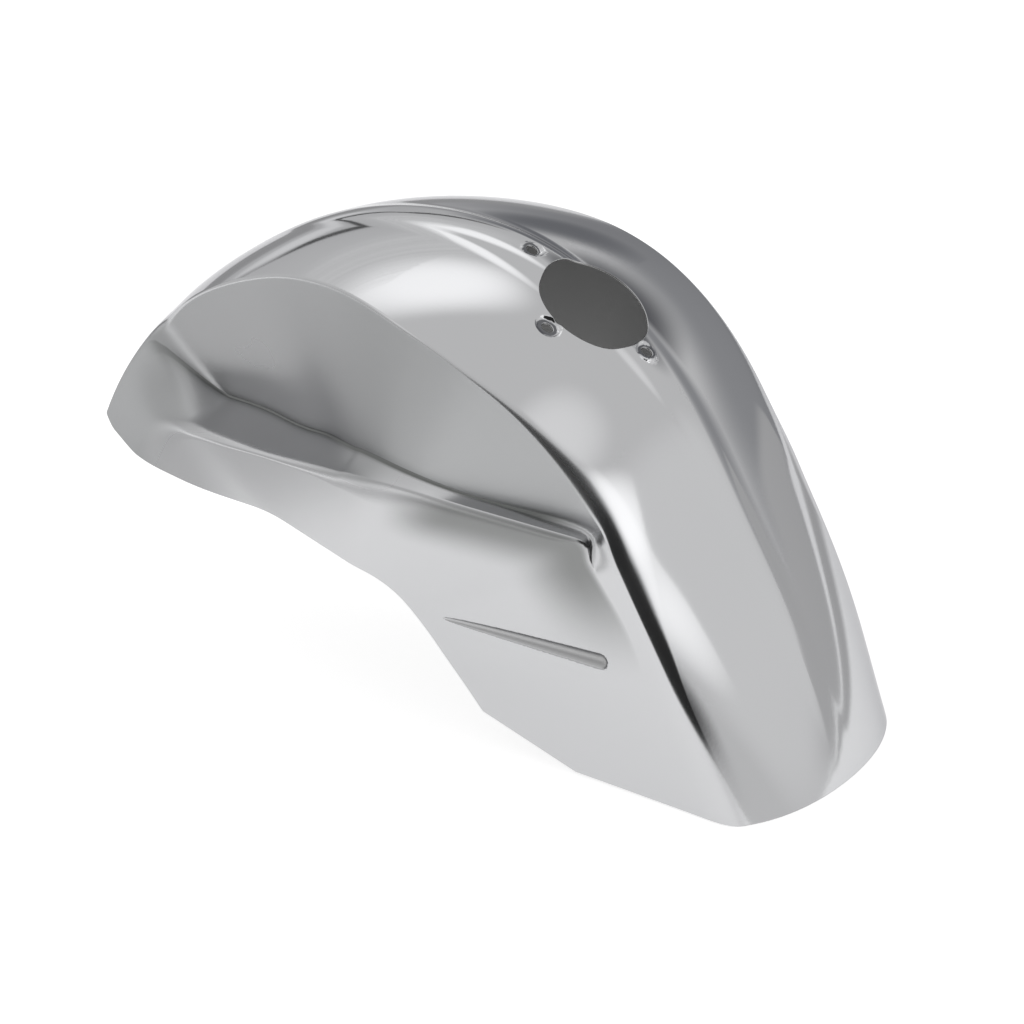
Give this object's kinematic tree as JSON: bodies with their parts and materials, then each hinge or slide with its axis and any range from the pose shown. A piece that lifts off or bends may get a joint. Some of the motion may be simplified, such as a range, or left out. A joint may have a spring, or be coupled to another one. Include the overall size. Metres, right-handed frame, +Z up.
{
  "type": "scooter front fender",
  "caption": "Chromed pressed-steel scooter front fender: arched crown with a spine rib, recessed cheeks over a flared skirt, swept tail, steering-column opening and screw holes.",
  "frame": {"origin": "on the steering axis at the crown, in the middle of the column opening", "axes": "+X to the rear of the scooter, +Y to its right side, +Z up as the fender sits on the fork"},
  "size_m": [0.5264, 0.2192, 0.3001],
  "materials": {
    "chrome": "bright chrome plating over pressed steel"
  },
  "bodies": {
    "root": {"fender": "chrome"}
  },
  "joints": []
}
